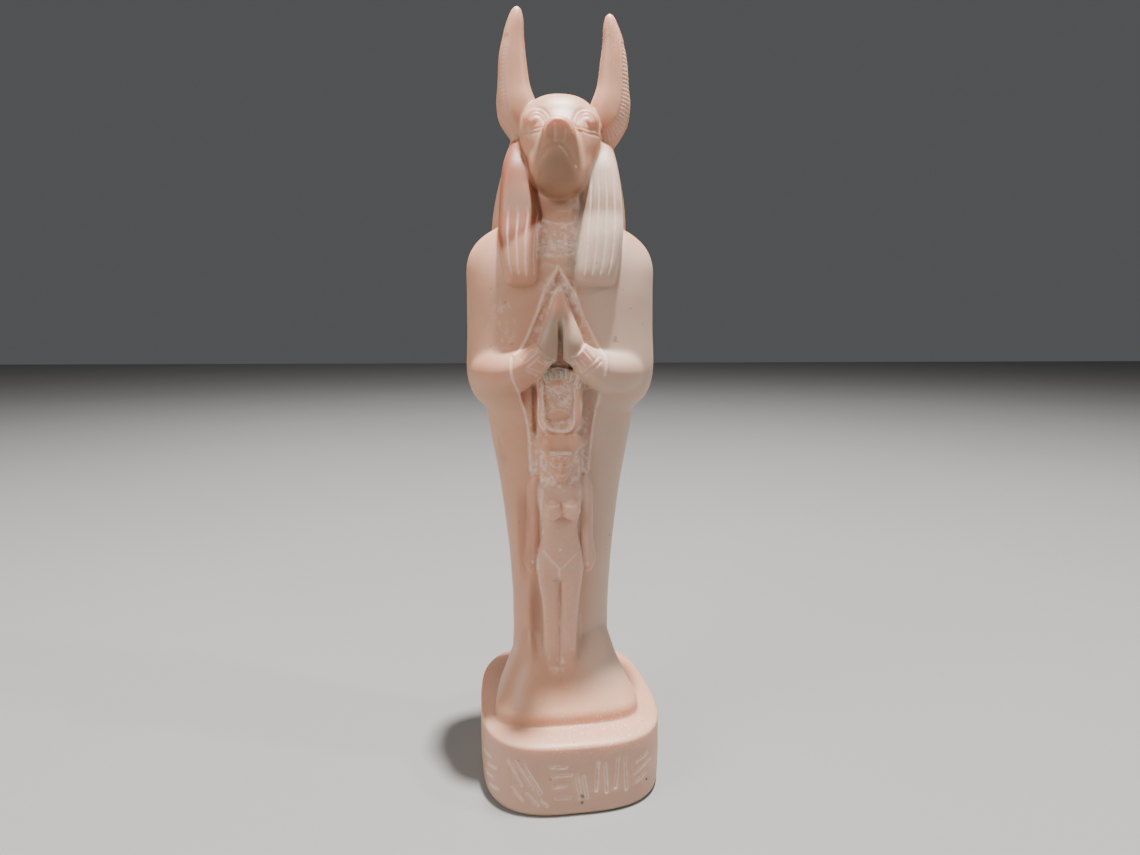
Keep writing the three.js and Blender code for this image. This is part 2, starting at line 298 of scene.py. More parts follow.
def body():
    """The wrapped body on its plinth, opened in front by a wedge round the hands and a niche below them."""
    parts = [column(LOWER_BODY, 2.35), column(UPPER_BODY, 2.9)]
    cuts = shift([column(WEDGE, 12, sides=48, steps=3), column(NICHE, 12, sides=48, steps=3)], FRONT_X)
    for part in parts:
        for cut in cuts:
            finish_with(part, "BOOLEAN", object=cut, operation="DIFFERENCE", solver="EXACT")
    for cut in cuts:
        bpy.data.objects.remove(cut)
    return parts + [plinth(), turned(column(FOOT_WEDGE, 3.6, slim=0.15)), column(COLLAR, 6)]


def lay_forward(form):
    """Turns a column so that a row's height is how far forward it lies, and its front and back are the
    heights of its underside and top."""
    pick(form)
    form.rotation_euler.x = math.pi / 2
    apply_place()
    return form


def skull_and_muzzle():
    top = SKULL_TOP
    skull = [
        (-12, 0, 5, 200, 216),
        (-7, 0, 10.6, 194, top - 2),
        (-2, 0, 12.3, 191, top),
        (3, 0, 12.7, 190.6, top - 0.2),
        (7, 0, 12.2, 190.6, top - 1.8),
        (10, 0, 11, 190.8, top - 4.6),
        (12, 0, 9, 191, top - 7.8),
        (14.5, 0, 7.2, 191.6, top - 11),
    ]
    muzzle = [
        (6, 0, 9.4, 191.6, top - 6),
        (9, -0.2, 9, 190.8, top - 7.2),
        (12, -0.5, 8.4, 190.4, top - 9),
        (15, -0.8, 7.6, 190.3, top - 11),
        (20, -1.3, 6.8, 190.4, top - 12.8),
        (24.5, -1.5, 6.2, 191.6, top - 13.8),
        (28, -1.7, 5.6, 194.4, top - 14.4),
        (31, -1.8, 5, 197.6, top - 14.9),
        (33.2, -2, 4.5, 200.2, top - 15.4),
        (34.2, -2.1, 3.6, 201.6, top - 16.4),
    ]
    jowls = [
        (191.8, -0.8, 4.4, -12, -4),
        (194, -0.8, 7.4, -15.8, -3),
        (196.6, -0.7, 9, -17.2, -3),
        (200, -0.5, 9.8, -16.8, -3),
        (203.6, -0.3, 10.2, -15, -3),
        (207, -0.1, 10.6, -12.6, -3),
        (211, 0, 10.4, -10, -3),
    ]
    snout = lay_forward(column(muzzle, 2.5, slim=0.16))
    return [lay_forward(column(skull, 2.25, slim=-0.18)), snout, column(jowls, 2.3)]


def ear_rows(side):
    drop = 0 if side < 0 else 1.4
    rise = 2 if side < 0 else 0.8
    rows = [
        (206.5 + rise, 12.4, 3.2, -2.4, 4),
        (210 + rise, 13.4, 4.8, -4.4, 6),
        (215 + rise / 2, 14.6, 6.1, -5.2, 6.6),
        (221, 15, 6.5, -5, 6),
        (227, 15.9, 5.3, -4.1, 4.8),
        (235, 16.1, 4.4, -3.2, 3.7),
        (241 - drop / 2, 15.8, 3.4, -2.4, 2.9),
        (246 - drop, 15.1, 2.5, -1.7, 2.2),
        (249 - drop, 14.7, 1.5, -0.9, 1.4),
        (250.2 - drop, 14.6, 0.5, 0, 0.6),
    ]
    return [(z, 1.3 + side * x, half, front, back) for z, x, half, front, back in rows]


def eye(side):
    return [
        egg((side * 7.6, -8.8, 213.4), (4.3, 2.8, 4.2)),
        egg((side * 7.7, -10.2, 212.9), (2.7, 2.1, 2.2)),
    ]


def arm(side):
    forearm = bar(
        [
            (side * 24, -3, 138, 6),
            (side * 19.5, -11.6, 137, 8),
            (side * 13.6, -16.6, 137.6, 6.8),
            (side * 8.6, -19.8, 140.2, 5),
            (side * 4.4, -21.8, 144, 3.8),
        ]
    )
    hand = bar(
        [
            (side * 3.4, -20.4, 141, 1.4),
            (side * 3.4, -21.4, 142.4, 3.2),
            (side * 3.4, -21.8, 146, 3.7),
            (side * 2.4, -21.2, 150.4, 3.1),
            (side * 1.2, -19.8, 155, 2.4),
            (side * 0.5, -18.8, 158.6, 1.9),
            (side * 0.2, -17.6, 161, 1.3),
            (side * 0.1, -16.8, 163, 0.7),
        ]
    )
    return [forearm, hand]


def goddess():
    inside = -12

    def leg(side):
        rows = [
            (FOOT - 12, side * 2.8, 2.8, -18.8, inside),
            (FOOT - 6, side * 2.8, 2.8, -18.4, inside),
            (FOOT, side * 2.7, 2.7, -18.2, inside),
            (FOOT + 8, side * 2.8, 2.8, -18.3, inside),
            (FOOT + 17, side * 3.1, 3.1, -19, inside),
            (FOOT + 26, side * 3.5, 3.7, -20.2, inside),
            (FOOT + 32, side * 3.5, 3.7, -20.4, inside),
        ]
        return column(rows, 2.8, sides=32)

    def side_arm(side):
        rows = [
            (side * 6.8, -15.8, FOOT + 59.4, 1.6),
            (side * 8.2, -15.9, FOOT + 56, 2.2),
            (side * 8.7, -15.8, FOOT + 48, 2.1),
            (side * 8.7, -15.8, FOOT + 40, 2.1),
            (side * 9.2, -16, FOOT + 34, 2.3),
            (side * 9.5, -16, FOOT + 31.2, 2.1),
            (side * 8.6, -15.8, FOOT + 28, 1.1),
        ]
        return bar(rows, flat=0.95)

    torso = [
        (FOOT + 22, 0, 3, -15, inside),
        (FOOT + 27.6, 0, 7.1, -20.4, inside),
        (FOOT + 32, 0, 7.5, -21, inside),
        (FOOT + 37, 0, 6.6, -20.8, inside),
        (FOOT + 43, 0, 5.5, -20.2, inside),
        (FOOT + 48, 0, 6.2, -20.4, inside),
        (FOOT + 53, 0, 7.2, -20.2, inside),
        (FOOT + 56.5, 0, 7.4, -19.4, inside),
        (FOOT + 60, 0, 5.8, -18, inside),
    ]
    hair = [
        (FOOT + 50, 0, 4.6, -16, inside),
        (FOOT + 53.5, 0, 6, -19.4, inside),
        (FOOT + 58, 0, 6.8, -19.2, inside),
        (FOOT + 64, 0, 6.6, -18.2, inside),
        (FOOT + 70, 0, 5.8, -17.4, inside),
    ]
    backing = [
        (FOOT + 26, 0, 7, -16.2, inside),
        (FOOT + 34, 0, 8, -16.8, inside),
        (FOOT + 43, 0, 8.2, -17.2, inside),
        (FOOT + 50, 0, 8.2, -17.2, inside),
        (FOOT + 57, 0, 7.8, -17, inside),
        (FOOT + 72, 0, 8.2, -16.6, inside),
    ]
    face = [
        (FOOT + 58.6, 0, 0.8, -20.8, -16),
        (FOOT + 59.4, 0, 1.9, -22.2, -15),
        (FOOT + 62, 0, 3.2, -23, -15),
        (FOOT + 65.4, 0, 4.3, -23.2, -15),
        (FOOT + 68.4, 0, 4.9, -22.6, -15),
        (FOOT + 71, 0, 5, -21.2, -15),
    ]
    breasts = both(lambda side: egg((side * 3 + 0.5, -20.6, FOOT + 49.6), (2.9, 2.7, 3.1)))
    trunk = [column(rows, 2.6, sides=40) for rows in (torso, hair, backing, face)]
    trunk += [egg((0, -23.2, FOOT + 64), (0.7, 0.9, 1.6)), egg((0, -22.9, FOOT + 61.2), (1.4, 0.8, 0.7))]
    trunk += both(lambda side: egg((side * 1.9, -22.7, FOOT + 65.4), (1.1, 0.8, 0.7)))
    return trunk + both(leg) + both(side_arm) + breasts


def crown():
    slab = [
        (116, -0.2, 5, -18.8, -12),
        (121, -0.2, 6.9, -19.2, -12),
        (129, 0, 7, -19.6, -12),
        (134.4, 0, 7.6, -20.3, -12),
        (136.9, -0.3, 5.6, -20.6, -12),
        (139, -0.6, 2.8, -20.2, -12),
    ]

    def horn(side):
        rows = [
            (side * 0.2, -19, 118.6, 0.9),
            (side * 3, -19.2, 119.4, 1),
            (side * 5.2, -19.4, 122.6, 1.1),
            (side * 5.9, -19.5, 128, 1.1),
            (side * 5.7, -19.6, 133, 1),
            (side * 5.6, -19.6, 136.2, 0.6),
        ]
        return bar(rows)

    lobes = [egg((x, -18.2, 115.2), (3.3, 4.7, 3)) for x in (-3.8, 0, 4)]
    cap = egg((0, -18, 115.1), (6.8, 4.9, 2.9))
    disc = egg((-0.4, -19.2, 124.6), (3.7, 1.1, 2))
    return [cap, column(slab, 4, sides=40), disc] + lobes + both(horn)


def fuse(pieces, name):
    bpy.ops.object.select_all(action="DESELECT")
    for piece in pieces:
        piece.select_set(True)
    bpy.context.view_layer.objects.active = pieces[0]
    bpy.ops.object.join()
    whole = bpy.context.object
    whole.name = name
    whole.data.name = name
    whole.location.x = AXIS_X * MM
    apply_place()
    finish_with(whole, "REMESH", mode="VOXEL", voxel_size=GRAIN * MM)
    return whole


# Measuring the block


def mesh_points(piece):
    points = np.empty(len(piece.data.vertices) * 3, np.float32)
    piece.data.vertices.foreach_get("co", points)
    return points.reshape(-1, 3).astype(float) / MM


def mesh_normals(piece):
    normals = np.empty(len(piece.data.vertices) * 3, np.float32)
    piece.data.vertices.foreach_get("normal", normals)
    return normals.reshape(-1, 3).astype(float)


def set_points(piece, points):
    piece.data.vertices.foreach_set("co", (points * MM).astype(np.float32).ravel())
    piece.data.update()


def step(value, low, high):
    """0 below low, 1 above high, and smooth between them. high may be the smaller."""
    t = np.clip((value - low) / (high - low), 0, 1)
    return t * t * (3 - 2 * t)


def within(value, low, high, soft):
    return step(value, low - soft, low + soft) * step(value, high + soft, high - soft)


TABLE_SIZE = 4096
TABLE_STEPS = np.array([73, 179, 283])  # from a lump to the next to the right, behind and above


def mottle(points, size, seed):
    """Smooth random values from -1 to 1 in lumps about this many millimetres across."""
    table = np.random.default_rng(seed).uniform(-1, 1, TABLE_SIZE)
    spot = points / size
    cell = np.floor(spot).astype(int)
    f = spot - cell
    f = f * f * (3 - 2 * f)
    total = np.zeros(len(points))
    for corner in range(8):
        offset = np.array([corner & 1, corner >> 1 & 1, corner >> 2 & 1])
        share = np.prod(np.where(offset, f, 1 - f), axis=1)
        total += share * table[(cell + offset) @ TABLE_STEPS % TABLE_SIZE]
    return total


def ragged(points, size, seed):
    """The same lumps with two finer sets on them, as a point leaves stone."""
    lumps = mottle(points, size, seed) + 0.5 * mottle(points, size / 2, seed + 1)
    return lumps + 0.3 * mottle(points, size / 4, seed + 2)


def oval(points, x, z, half, high, core):
    """An oval mark seen from the front: 1 in the middle, as far as core, and 0 outside."""
    return step(np.hypot((points[:, 0] - x) / half, (points[:, 2] - z) / high), 1, core)


def off_column(points, rows, power, x=AXIS_X):
    """How far each point is outside a column of rows, its turn round it, from -pi to pi, and its place
    across it, from -1 to 1."""
    table = np.array(rows, float)
    middle, half, front, back = (np.interp(points[:, 2], table[:, 0], table[:, k]) for k in (1, 2, 3, 4))
    u = (points[:, 0] - x - middle) / half
    deep = (back - front) / 2
    v = (points[:, 1] - (front + back) / 2) / deep
    size = (np.abs(u) ** power + np.abs(v) ** power) ** (1 / power)
    return (size - 1) * np.minimum(half, deep), np.arctan2(v, u), u


def nearest(points, path, reach):
    """How far each point is from a path, or reach where it is further, and how far along the path."""
    path = np.asarray(path, float)
    far = np.full(len(points), float(reach))
    along = np.zeros(len(points))
    low, high = path.min(0) - reach, path.max(0) + reach
    near = np.nonzero(((points > low) & (points < high)).all(1))[0]
    spot, best, place = points[near], far[near], along[near]
    start = 0.0
    for a, b in zip(path, path[1:]):
        run = b - a
        length = np.linalg.norm(run)
        t = np.clip((spot - a) @ run / max(length**2, 1e-9), 0, 1)
        gap = np.linalg.norm(spot - a - t[:, None] * run, axis=1)
        place = np.where(gap < best, start + t * length, place)
        best = np.minimum(best, gap)
        start += length
    far[near], along[near] = best, place
    return far, along


def distance(points, path, reach):
    return nearest(points, path, reach)[0]


LAID_STEP = 0.7  # between the points of a line laid on the block
AHEAD = -0.08  # metres


def on_front(piece, line):
    """A line of x and z laid on the front of the block."""
    laid = []
    for (x0, z0), (x1, z1) in zip(line, line[1:]):
        count = max(1, math.ceil(math.hypot(x1 - x0, z1 - z0) / LAID_STEP))
        for k in range(count + 1):
            x, z = x0 + (x1 - x0) * k / count, z0 + (z1 - z0) * k / count
            hit, place, _, _ = piece.ray_cast((x * MM, AHEAD, z * MM), (0, 1, 0))
            if hit:
                laid.append([c / MM for c in place])
    return laid


# Lines


def arch(x, z, half, high, low=0.0, high_turn=math.pi, count=14):
    turns = [low + (high_turn - low) * k / count for k in range(count + 1)]
    return [(x + half * math.cos(t), z + high * math.sin(t)) for t in turns]


def curl(line, steps=4):
    """The same line with its corners rounded."""
    return [tuple(point) for point in smooth_rows(line, steps)]


CLOAK_LEFT = [(-2.2, 169), (-6.1, 162.3), (-8.5, 155.7), (-11.4, 148.4), (-13.6, 144.6), (-15.8, 142.6)]
CLOAK_RIGHT = [(-2, 169), (2.7, 161.4), (5.4, 154.4), (9.4, 146.4), (12.1, 141.3), (11.6, 136.8)]
NICHE_LEFT = [(-16.6, 142), (-16.7, 136), (-14.7, 130.9), (-12.7, 123.4), (-11.7, 117), (-11.3, 105.7)]
NICHE_RIGHT = [(6.3, 131.4), (8, 132.2), (10.3, 130.4), (9.2, 122.5), (8.2, 113), (7.8, 106)]

FRILL = [
    [(-8.9, 134.6), (-8, 133)],
    [(-7.4, 136.2), (-6.5, 134)],
    [(-5.7, 137.4), (-5.1, 134.9)],
    [(-3.9, 138.1), (-3.6, 135.6)],
    [(-2.1, 138.4), (-2.1, 135.9)],
    [(-0.3, 137.8), (-0.6, 135.5)],
    [(1.4, 137), (0.8, 134.8)],
    [(3.1, 136.1), (2.2, 134)],
    [(4.7, 134.8), (3.7, 132.9)],
]

HEADDRESS_TOP = [(-9.4, 134.4), (-7.1, 136.7), (-4.3, 138.2), (-2.4, 138.6)]
HEADDRESS_TOP += [(-0.4, 138), (2.7, 136.6), (6, 133.6)]
INNER_HORNS = [(-7.5, 134.4), (-7.5, 127), (-7.4, 122.4), (-4.7, 119.7)]
INNER_HORNS += [(0.6, 119.3), (2.3, 122.3), (2.4, 132)]
GODDESS_LEFT = [(-7.8, 100), (-8, 94), (-7.5, 89), (-7.3, 86), (-8.5, 82.6), (-8.9, 79), (-8.9, 74.6)]
GODDESS_RIGHT = [(4.6, 99), (4.4, 94), (3.7, 89), (4.4, 84), (5.3, 80.6), (5.6, 77), (5.8, 74.4)]
SLAB_SIDE = [(-10, 132.6), (-9.8, 126), (-9.2, 118)]
PALMS = [(-1.8, 153.4), (-1.9, 148), (-2.1, 141)]

# Each line: half its width, its depth, how chalky it is, and its points.
CUTS = [
    (0.5, 0.25, 1.0, curl(NICHE_LEFT)),
    (0.45, 0.2, 0.8, curl(NICHE_RIGHT)),
    (0.4, 0.2, 0.9, [(-14.4, 131), (-10.6, 132.9)]),
    # the wrists, and the bracelets' bars and edges
    (0.45, 0.3, 0.9, curl([(1.2, 142.1), (3.8, 143.8), (5.9, 146.8)])),
    (0.4, 0.3, 0.7, [(4.4, 137.4), (9.8, 142.3)]),
    (0.4, 0.3, 0.7, [(6, 136.5), (10.5, 140.9)]),
    (0.38, 0.3, 0.7, [(2.2, 140.9), (4.6, 137.7)]),
    (0.38, 0.3, 0.6, [(3.3, 141.9), (5.8, 138.8)]),
    (0.38, 0.3, 0.6, [(4.3, 143), (7, 140)]),
    (0.38, 0.3, 0.6, [(5.2, 144.3), (8.2, 141)]),
    (0.38, 0.3, 0.5, [(5.9, 145.8), (9.2, 142)]),
    (0.4, 0.3, 0.5, curl([(-8.9, 144.8), (-6.9, 143), (-5.3, 141.3), (-3.6, 140.9)])),
    (0.4, 0.25, 0.6, curl([(-3.2, 140.6), (-4.4, 138.8), (-7.4, 137.6)])),
    (0.38, 0.28, 0.6, [(-12.6, 140.6), (-9.4, 143.6)]),
    (0.38, 0.28, 0.6, [(-11.6, 139.6), (-8.4, 142.2)]),
    (0.38, 0.28, 0.6, [(-13.8, 141.6), (-10.6, 144.4)]),
    (0.38, 0.28, 0.5, [(-9, 141), (-6.8, 139.4)]),
    (0.38, 0.28, 0.6, [(-12, 138.9), (-7.8, 137.4)]),
    (0.38, 0.28, 0.6, [(-12.3, 137.8), (-9, 136.3)]),
    # the collar's neckline and its sagging bands
    (0.45, 0.3, 0.9, curl([(-6.6, 183.4), (-4, 182.8), (-1.4, 182.6), (1.6, 182.8), (4, 183.4)])),
    (0.4, 0.3, 0.9, curl([(-8.6, 176.3), (-5.4, 175.8), (-2.2, 175.6), (2.8, 175.5)])),
    (0.35, 0.25, 0.7, curl([(-7.6, 175.2), (-2.4, 174.6), (2.8, 174.7)])),
    (0.4, 0.3, 0.9, curl([(-8.8, 174.6), (-6.4, 173.6), (-3.6, 173), (0, 173), (2.8, 173.6)])),
    # the headdress's ragged top
    (0.45, 0.2, 0.8, curl(HEADDRESS_TOP)),
    *((0.4, 0.6, 1.0, ray) for ray in FRILL),
    # the horns and what they hold
    (0.5, 0.35, 1.0, curl(INNER_HORNS)),
    (0.45, 0.35, 1.0, curl([(-8.8, 134), (-8.6, 126), (-8.2, 121.3), (-6, 118)])),
    (0.5, 0.35, 1.0, curl([(6.4, 133), (4.9, 130), (4.8, 126), (4.9, 121), (2.5, 117.8)])),
    (0.4, 0.25, 0.5, arch(-2.6, 124, 3.6, 1.9, 0, 2 * math.pi, 24)),
    (0.35, 0.3, 1.0, [(-5, 112.7), (-2, 112.5), (1.4, 112.6)]),
    (0.3, 0.2, 0.9, [(-4.8, 111.8), (-2, 111.6), (1.2, 111.7)]),
    # the goddess
    (0.35, 0.5, 0.6, curl([(-4.8, 109.2), (-3.7, 108.7), (-2.6, 109.1)])),
    (0.35, 0.5, 0.6, curl([(-1, 109.1), (0.1, 108.7), (1.2, 109.2)])),
    (0.35, 0.4, 0.35, curl([(-4.9, 111.1), (-3.7, 111.7), (-2.5, 111)])),
    (0.35, 0.4, 0.35, curl([(-1.1, 111), (0.1, 111.7), (1.3, 111.1)])),
    (0.4, 0.4, 0.35, [(-3.1, 105.6), (-0.5, 105.6)]),
    (0.35, 0.25, 0.7, [(-6.4, 95.8), (-2.2, 95.9), (3.6, 95.8)]),
    (0.4, 0.35, 0.8, [(-1.6, 96), (-1.5, 91.4)]),
    (0.45, 0.35, 0.1, curl([(-7.4, 95.4), (-6.4, 92.3), (-4.1, 91), (-1.9, 91.6)])),
    (0.45, 0.35, 0.1, curl([(-1.1, 91.6), (1.3, 90.7), (3.7, 92.6), (4.4, 95)])),
    (0.5, 0.45, 0.95, curl(GODDESS_LEFT)),
    (0.45, 0.4, 0.9, curl(GODDESS_RIGHT)),
    (0.5, 0.35, 1.0, [(-7.3, 80.4), (-2.5, 75)]),
    (0.4, 0.25, 0.7, [(3.2, 79.6), (-1.5, 75.2)]),
    (0.6, 0.2, 1.0, [(-2.3, 75), (-2.2, 60), (-2.1, 50), (-2.1, 42)]),
    (0.35, 0.2, 0.5, [(5.5, 56.2), (5.5, 48.4)]),
    (0.3, 0.2, 0.8, [(1.5, 46.8), (2.8, 46)]),
    (0.45, 0.3, 1.0, [(-2.1, 81.4), (-1.9, 81)]),
    (0.5, 0.2, 0.9, [(-10.8, 76.6), (-10.4, 76)]),
    (0.5, 0.2, 0.9, [(7, 75.8), (7.3, 75)]),
]

# Shallow strokes in a row round the plinth's front. They spell nothing.
PLINTH_STROKES = [
    [(-27, 13.6), (-24.6, 15)],
    [(-25.6, 11.4), (-22.8, 12.8)],
    [(-26.6, 7), (-24.2, 8.6)],
    [(-25.2, 4.6), (-22.2, 6)],
    [(-19, 17.6), (-14.8, 10.6)],
    [(-16.6, 18), (-11.6, 9.8)],
    [(-14, 17.2), (-8.8, 8.6)],
    [(-17.8, 9), (-14.6, 5.4)],
    [(-13.2, 8), (-9.8, 4.2)],
    [(-9.6, 6.6), (-7, 4)],
    [(-5.8, 17.2), (-1, 16.8)],
    [(-5, 14), (0.6, 14.2)],
    [(-4.8, 10.4), (-1, 10.8)],
    [(-4.2, 6.6), (0.4, 6.4)],
    [(2.2, 14), (3.6, 6.4)],
    [(4.4, 13.4), (5.6, 6)],
    [(8.4, 8.2), (9, 17.6)],
    [(11.2, 17), (11.8, 7.2)],
    [(14.6, 8.2), (15.4, 18.4)],
    [(17.6, 17.8), (18.2, 6.8)],
    [(21, 11.6), (26.6, 14)],
    [(22, 15.4), (25.4, 16.6)],
    [(21.6, 8.6), (24.6, 9.8)],
]

MOUTH = [
    (-8.6, 196.5),
    (-8.2, 198.2),
    (-7, 199.6),
    (-4.8, 200.8),
    (-2.9, 201.2),
    (-1.2, 200.6),
    (0.6, 198.7),
    (2.5, 196.5),
]
HEAD_CUTS = [
    (0.7, 0.28, 0, curl(MOUTH)),
    (0.4, 0.15, 0.35, curl([(-2.7, 200.4), (-1.6, 199.8), (-0.3, 198.5)])),
    # the nostrils
    (0.4, 0.2, 0.35, [(-3.9, 206.6), (-3.8, 201.6)]),
    (0.4, 0.2, 0.2, [(-1.1, 204.8), (-1.4, 201.6)]),
    # painted highlights: short bright chalk strokes where glints stand at the eyes' inner corners and at
    # the mouth's right end
    (0.4, 0.1, 0.9, curl([(3.8, 211), (4.8, 212.9), (6.2, 214.4)])),
    (0.45, 0.1, 0.9, [(-6.6, 212.2), (-6.1, 211)]),
    (0.4, 0.1, 0.9, [(2.2, 196.4), (2.6, 196.2)]),
]
# Half the width, depth and chalk of the strokes, of the arcs over the eyes, and of the lids' edges
STROKE = (0.5, 0.45, 1.0)
EYE_ARC = (0.68, 0.17, 0)
EYELID = (0.5, 0.2, 0)


def eye_cuts(side):
    x = side * 7.6 + AXIS_X
    cuts = []
    for half, high in ((4.3, 6.4), (3.3, 5), (2.4, 3.7)):
        cuts.append((*EYE_ARC, arch(x, 210.9, half, high, 0.05, math.pi - 0.05)))
    for drop in (0, 1.2):
        cuts.append((*EYELID, [(x - 4.1, 210.8 - drop), (x, 210.5 - drop), (x + 4.1, 210.8 - drop)]))
    return cuts


class Relief:
    """Everything that is cut into the block, so that the same lines both lower it and whiten it."""

    def __init__(self, block):
        strokes = [(*STROKE, line) for line in PLINTH_STROKES]
        cuts = CUTS + HEAD_CUTS + eye_cuts(-1) + eye_cuts(1) + strokes
        laid = [(*cut[:3], on_front(block, cut[3])) for cut in cuts]
        self.lines = [line for line in laid if len(line[3]) > 1]
        self.edges = [on_front(block, curl(line)) for line in (CLOAK_LEFT, CLOAK_RIGHT)]

    def lowering(self, points):
        deepest = np.zeros(len(points))
        for half, depth, _, path in self.lines:
            near = distance(points, path, half)
            deepest = np.maximum(deepest, depth * (1 - (near / half) ** 2))
        return deepest

    def chalk_and_light(self, points):
        white = np.zeros(len(points))
        for half, depth, strength, path in self.lines:
            reach = 1.1 * math.hypot(half, depth)
            share = step(distance(points, path, reach), reach, max(depth, half * 0.5))
            white = np.maximum(white, strength * share)
        for path in self.edges:
            white = np.maximum(white, 0.85 * step(distance(points, path, 0.8), 0.6, 0.25))
        return white

    def raised_edge(self, points):
        return sum(0.22 * step(distance(points, path, 1), 0.9, 0.2) for path in self.edges)


LOCKS = 38  # round the whole wig
LOCK_GROOVE = 0.4
STRANDS = {-1: 2.2, 1: 2.6}  # in half a lappet's width
STRAND_TOPS = {-1: 189, 1: 203}


def locks(points):
    """Grooves between the locks of the wig and the strands of the lappets, and their chalk."""
    z = points[:, 2]
    out, turn, _ = off_column(points, WIG, 2.2)
    wave = turn * LOCKS / (2 * math.pi) + 0.12 * mottle(points, 14, 5)
    groove = np.exp(-((np.abs(wave - np.round(wave)) / 0.13) ** 2))
    hair = step(np.abs(out), 1.6, 0.9) * step(z, 168.5, 171) * step(z, 222, 214)
    hair *= 1 - step(z, 205, 208) * step(points[:, 1], 7.5, 5.5)
    hair *= 1 - 0.9 * step(points[:, 1], 0, -5)
    cut = LOCK_GROOVE * groove * hair
    white = 0.35 * groove * hair * step(points[:, 1], 0, -6)
    for side in (-1, 1):
        out, _, u = off_column(points, lappet_rows(side), 3.2, AXIS_X + FRONT_X)
        strand = (u + 1) * STRANDS[side] + 0.05 * mottle(points, 9, 6)
        groove = np.exp(-((np.abs(strand - np.round(strand)) / 0.1) ** 2))
        top = STRAND_TOPS[side]
        hair = step(np.abs(out), 1.6, 0.9) * step(z, 165.4, 168.5) * step(z, top, top - 9)
        hair *= step(np.abs(u), 0.97, 0.88) * step(points[:, 1], -6, -9)
        cut = np.maximum(cut, LOCK_GROOVE * groove * hair)
        white = np.maximum(white, 0.8 * groove * hair)
    return cut, white


# The middle of the ribbed strip down each ear's outer side.
EAR_STRIPS = {
    -1: [
        (-17.2, 242),
        (-18.5, 235),
        (-19.4, 228),
        (-19.4, 223.7),
        (-18.9, 218.5),
        (-17.4, 214.4),
        (-15.7, 211),
    ],
    1: [
        (19.6, 241),
        (20.1, 234),
        (20.4, 227),
        (20, 221),
        (19, 216.6),
        (17.2, 213.2),
        (14.8, 211.3),
        (12.2, 210.8),
    ],
}
RIB_PITCH = 1.25


def ear_ribs(points):
    """The ribs' depth, and their chalk."""
    cut = np.zeros(len(points))
    strips = np.zeros(len(points))
    y, z = points[:, 1], points[:, 2]
    for side, line in EAR_STRIPS.items():
        gap, along = nearest(points[:, [0, 2]], curl(line), 4)
        half = np.interp(z, [210, 218, 228, 243], [1.9, 1.9, 1.6, 0.8])
        out, _, _ = off_column(points, ear_rows(side), 2.1)
        strip = step(gap / half, 1.1, 0.75) * step(np.abs(out), 2.6, 1.6) * step(y, 2.5, 1)
        strip *= within(along, 1, 35, 1)
        rib = 0.5 + 0.5 * np.cos(2 * math.pi * along / RIB_PITCH)
        low, depth = (0.22, 0.15) if side > 0 else (0.2, 0.06)
        cut = np.maximum(cut, strip * (low + depth * rib))
        strips = np.maximum(strips, strip * (0.35 + 0.4 * (1 - rib)) * (1 if side > 0 else 0.2))
    return cut, strips


def tooled(points):
    """The rough grounds round the hands, in the niche, on the headdress and under the chin."""
    x, y, z = points.T
    left = np.interp(z, *np.array(sorted((b, a) for a, b in CLOAK_LEFT + NICHE_LEFT[1:])).T)
    right = np.interp(z, *np.array(sorted((b, a) for a, b in CLOAK_RIGHT + NICHE_RIGHT)).T)
    inside = step(x, left - 0.1, left + 0.7) * step(x, right + 0.1, right - 0.7)
    wedge = inside * step(y, -19, -18) * step(y, -12, -14) * within(z, 139, 168, 1)
    niche = inside * step(y, -16.4, -15.6) * step(y, -12, -14) * within(z, 103, 136, 1.5)
    slab = within(x, -7.2, 2.2, 0.4) * step(y, -17, -18) * within(z, 119.6, 141, 0.6)
    slab *= step(np.hypot((x + 2.2) / 3.7, (z - 124.6) / 2), 0.8, 1.1)
    collar = within(x, -8.8, 4.6, 0.6) * within(z, 172, 182.6, 0.8)
    collar = collar * step(y, -17.6, -16.8) * step(y, -4, -8)
    hair = within(x, -8, 4.4, 0.5) * within(z, 100.4, 115, 1.6) * step(y, -20.6, -19.8) * step(y, -12, -14)
    hair *= step(z - 1.1 * np.abs(x + 1.8), 94, 97)
    return np.maximum.reduce([wedge, niche, slab, collar, hair])


# Chips and holes: their middle and size
PITS = [
    (np.array([4.0, -35.9, 6.6]), 0.7),
    (np.array([4.0, -35.8, 4.4]), 0.55),
    (np.array([25.1, -29.4, 7.1]), 0.6),
    (np.array([17.9, -17.9, 152.4]), 0.5),
    (np.array([-8.1, -33.9, 23.3]), 0.5),
]


def pits(points, outer, inner):
    """1 within a chip's size times inner, and 0 beyond its size times outer."""
    marks = []
    for middle, size in PITS:
        marks.append(step(np.linalg.norm(points - middle, axis=1), size * outer, size * inner))
    return np.maximum.reduce(marks)


# How high and how deep the carving goes, away from its lines
WIDE_RUB = 0.1
FINE_RUB = 0.05
TOOL_MARKS = 0.13
SLAB_GROOVE = 0.6
LEG_HOLLOW = 0.8
PALM_GROOVE = 0.9
SCRATCH = 0.12
PIT = 0.5


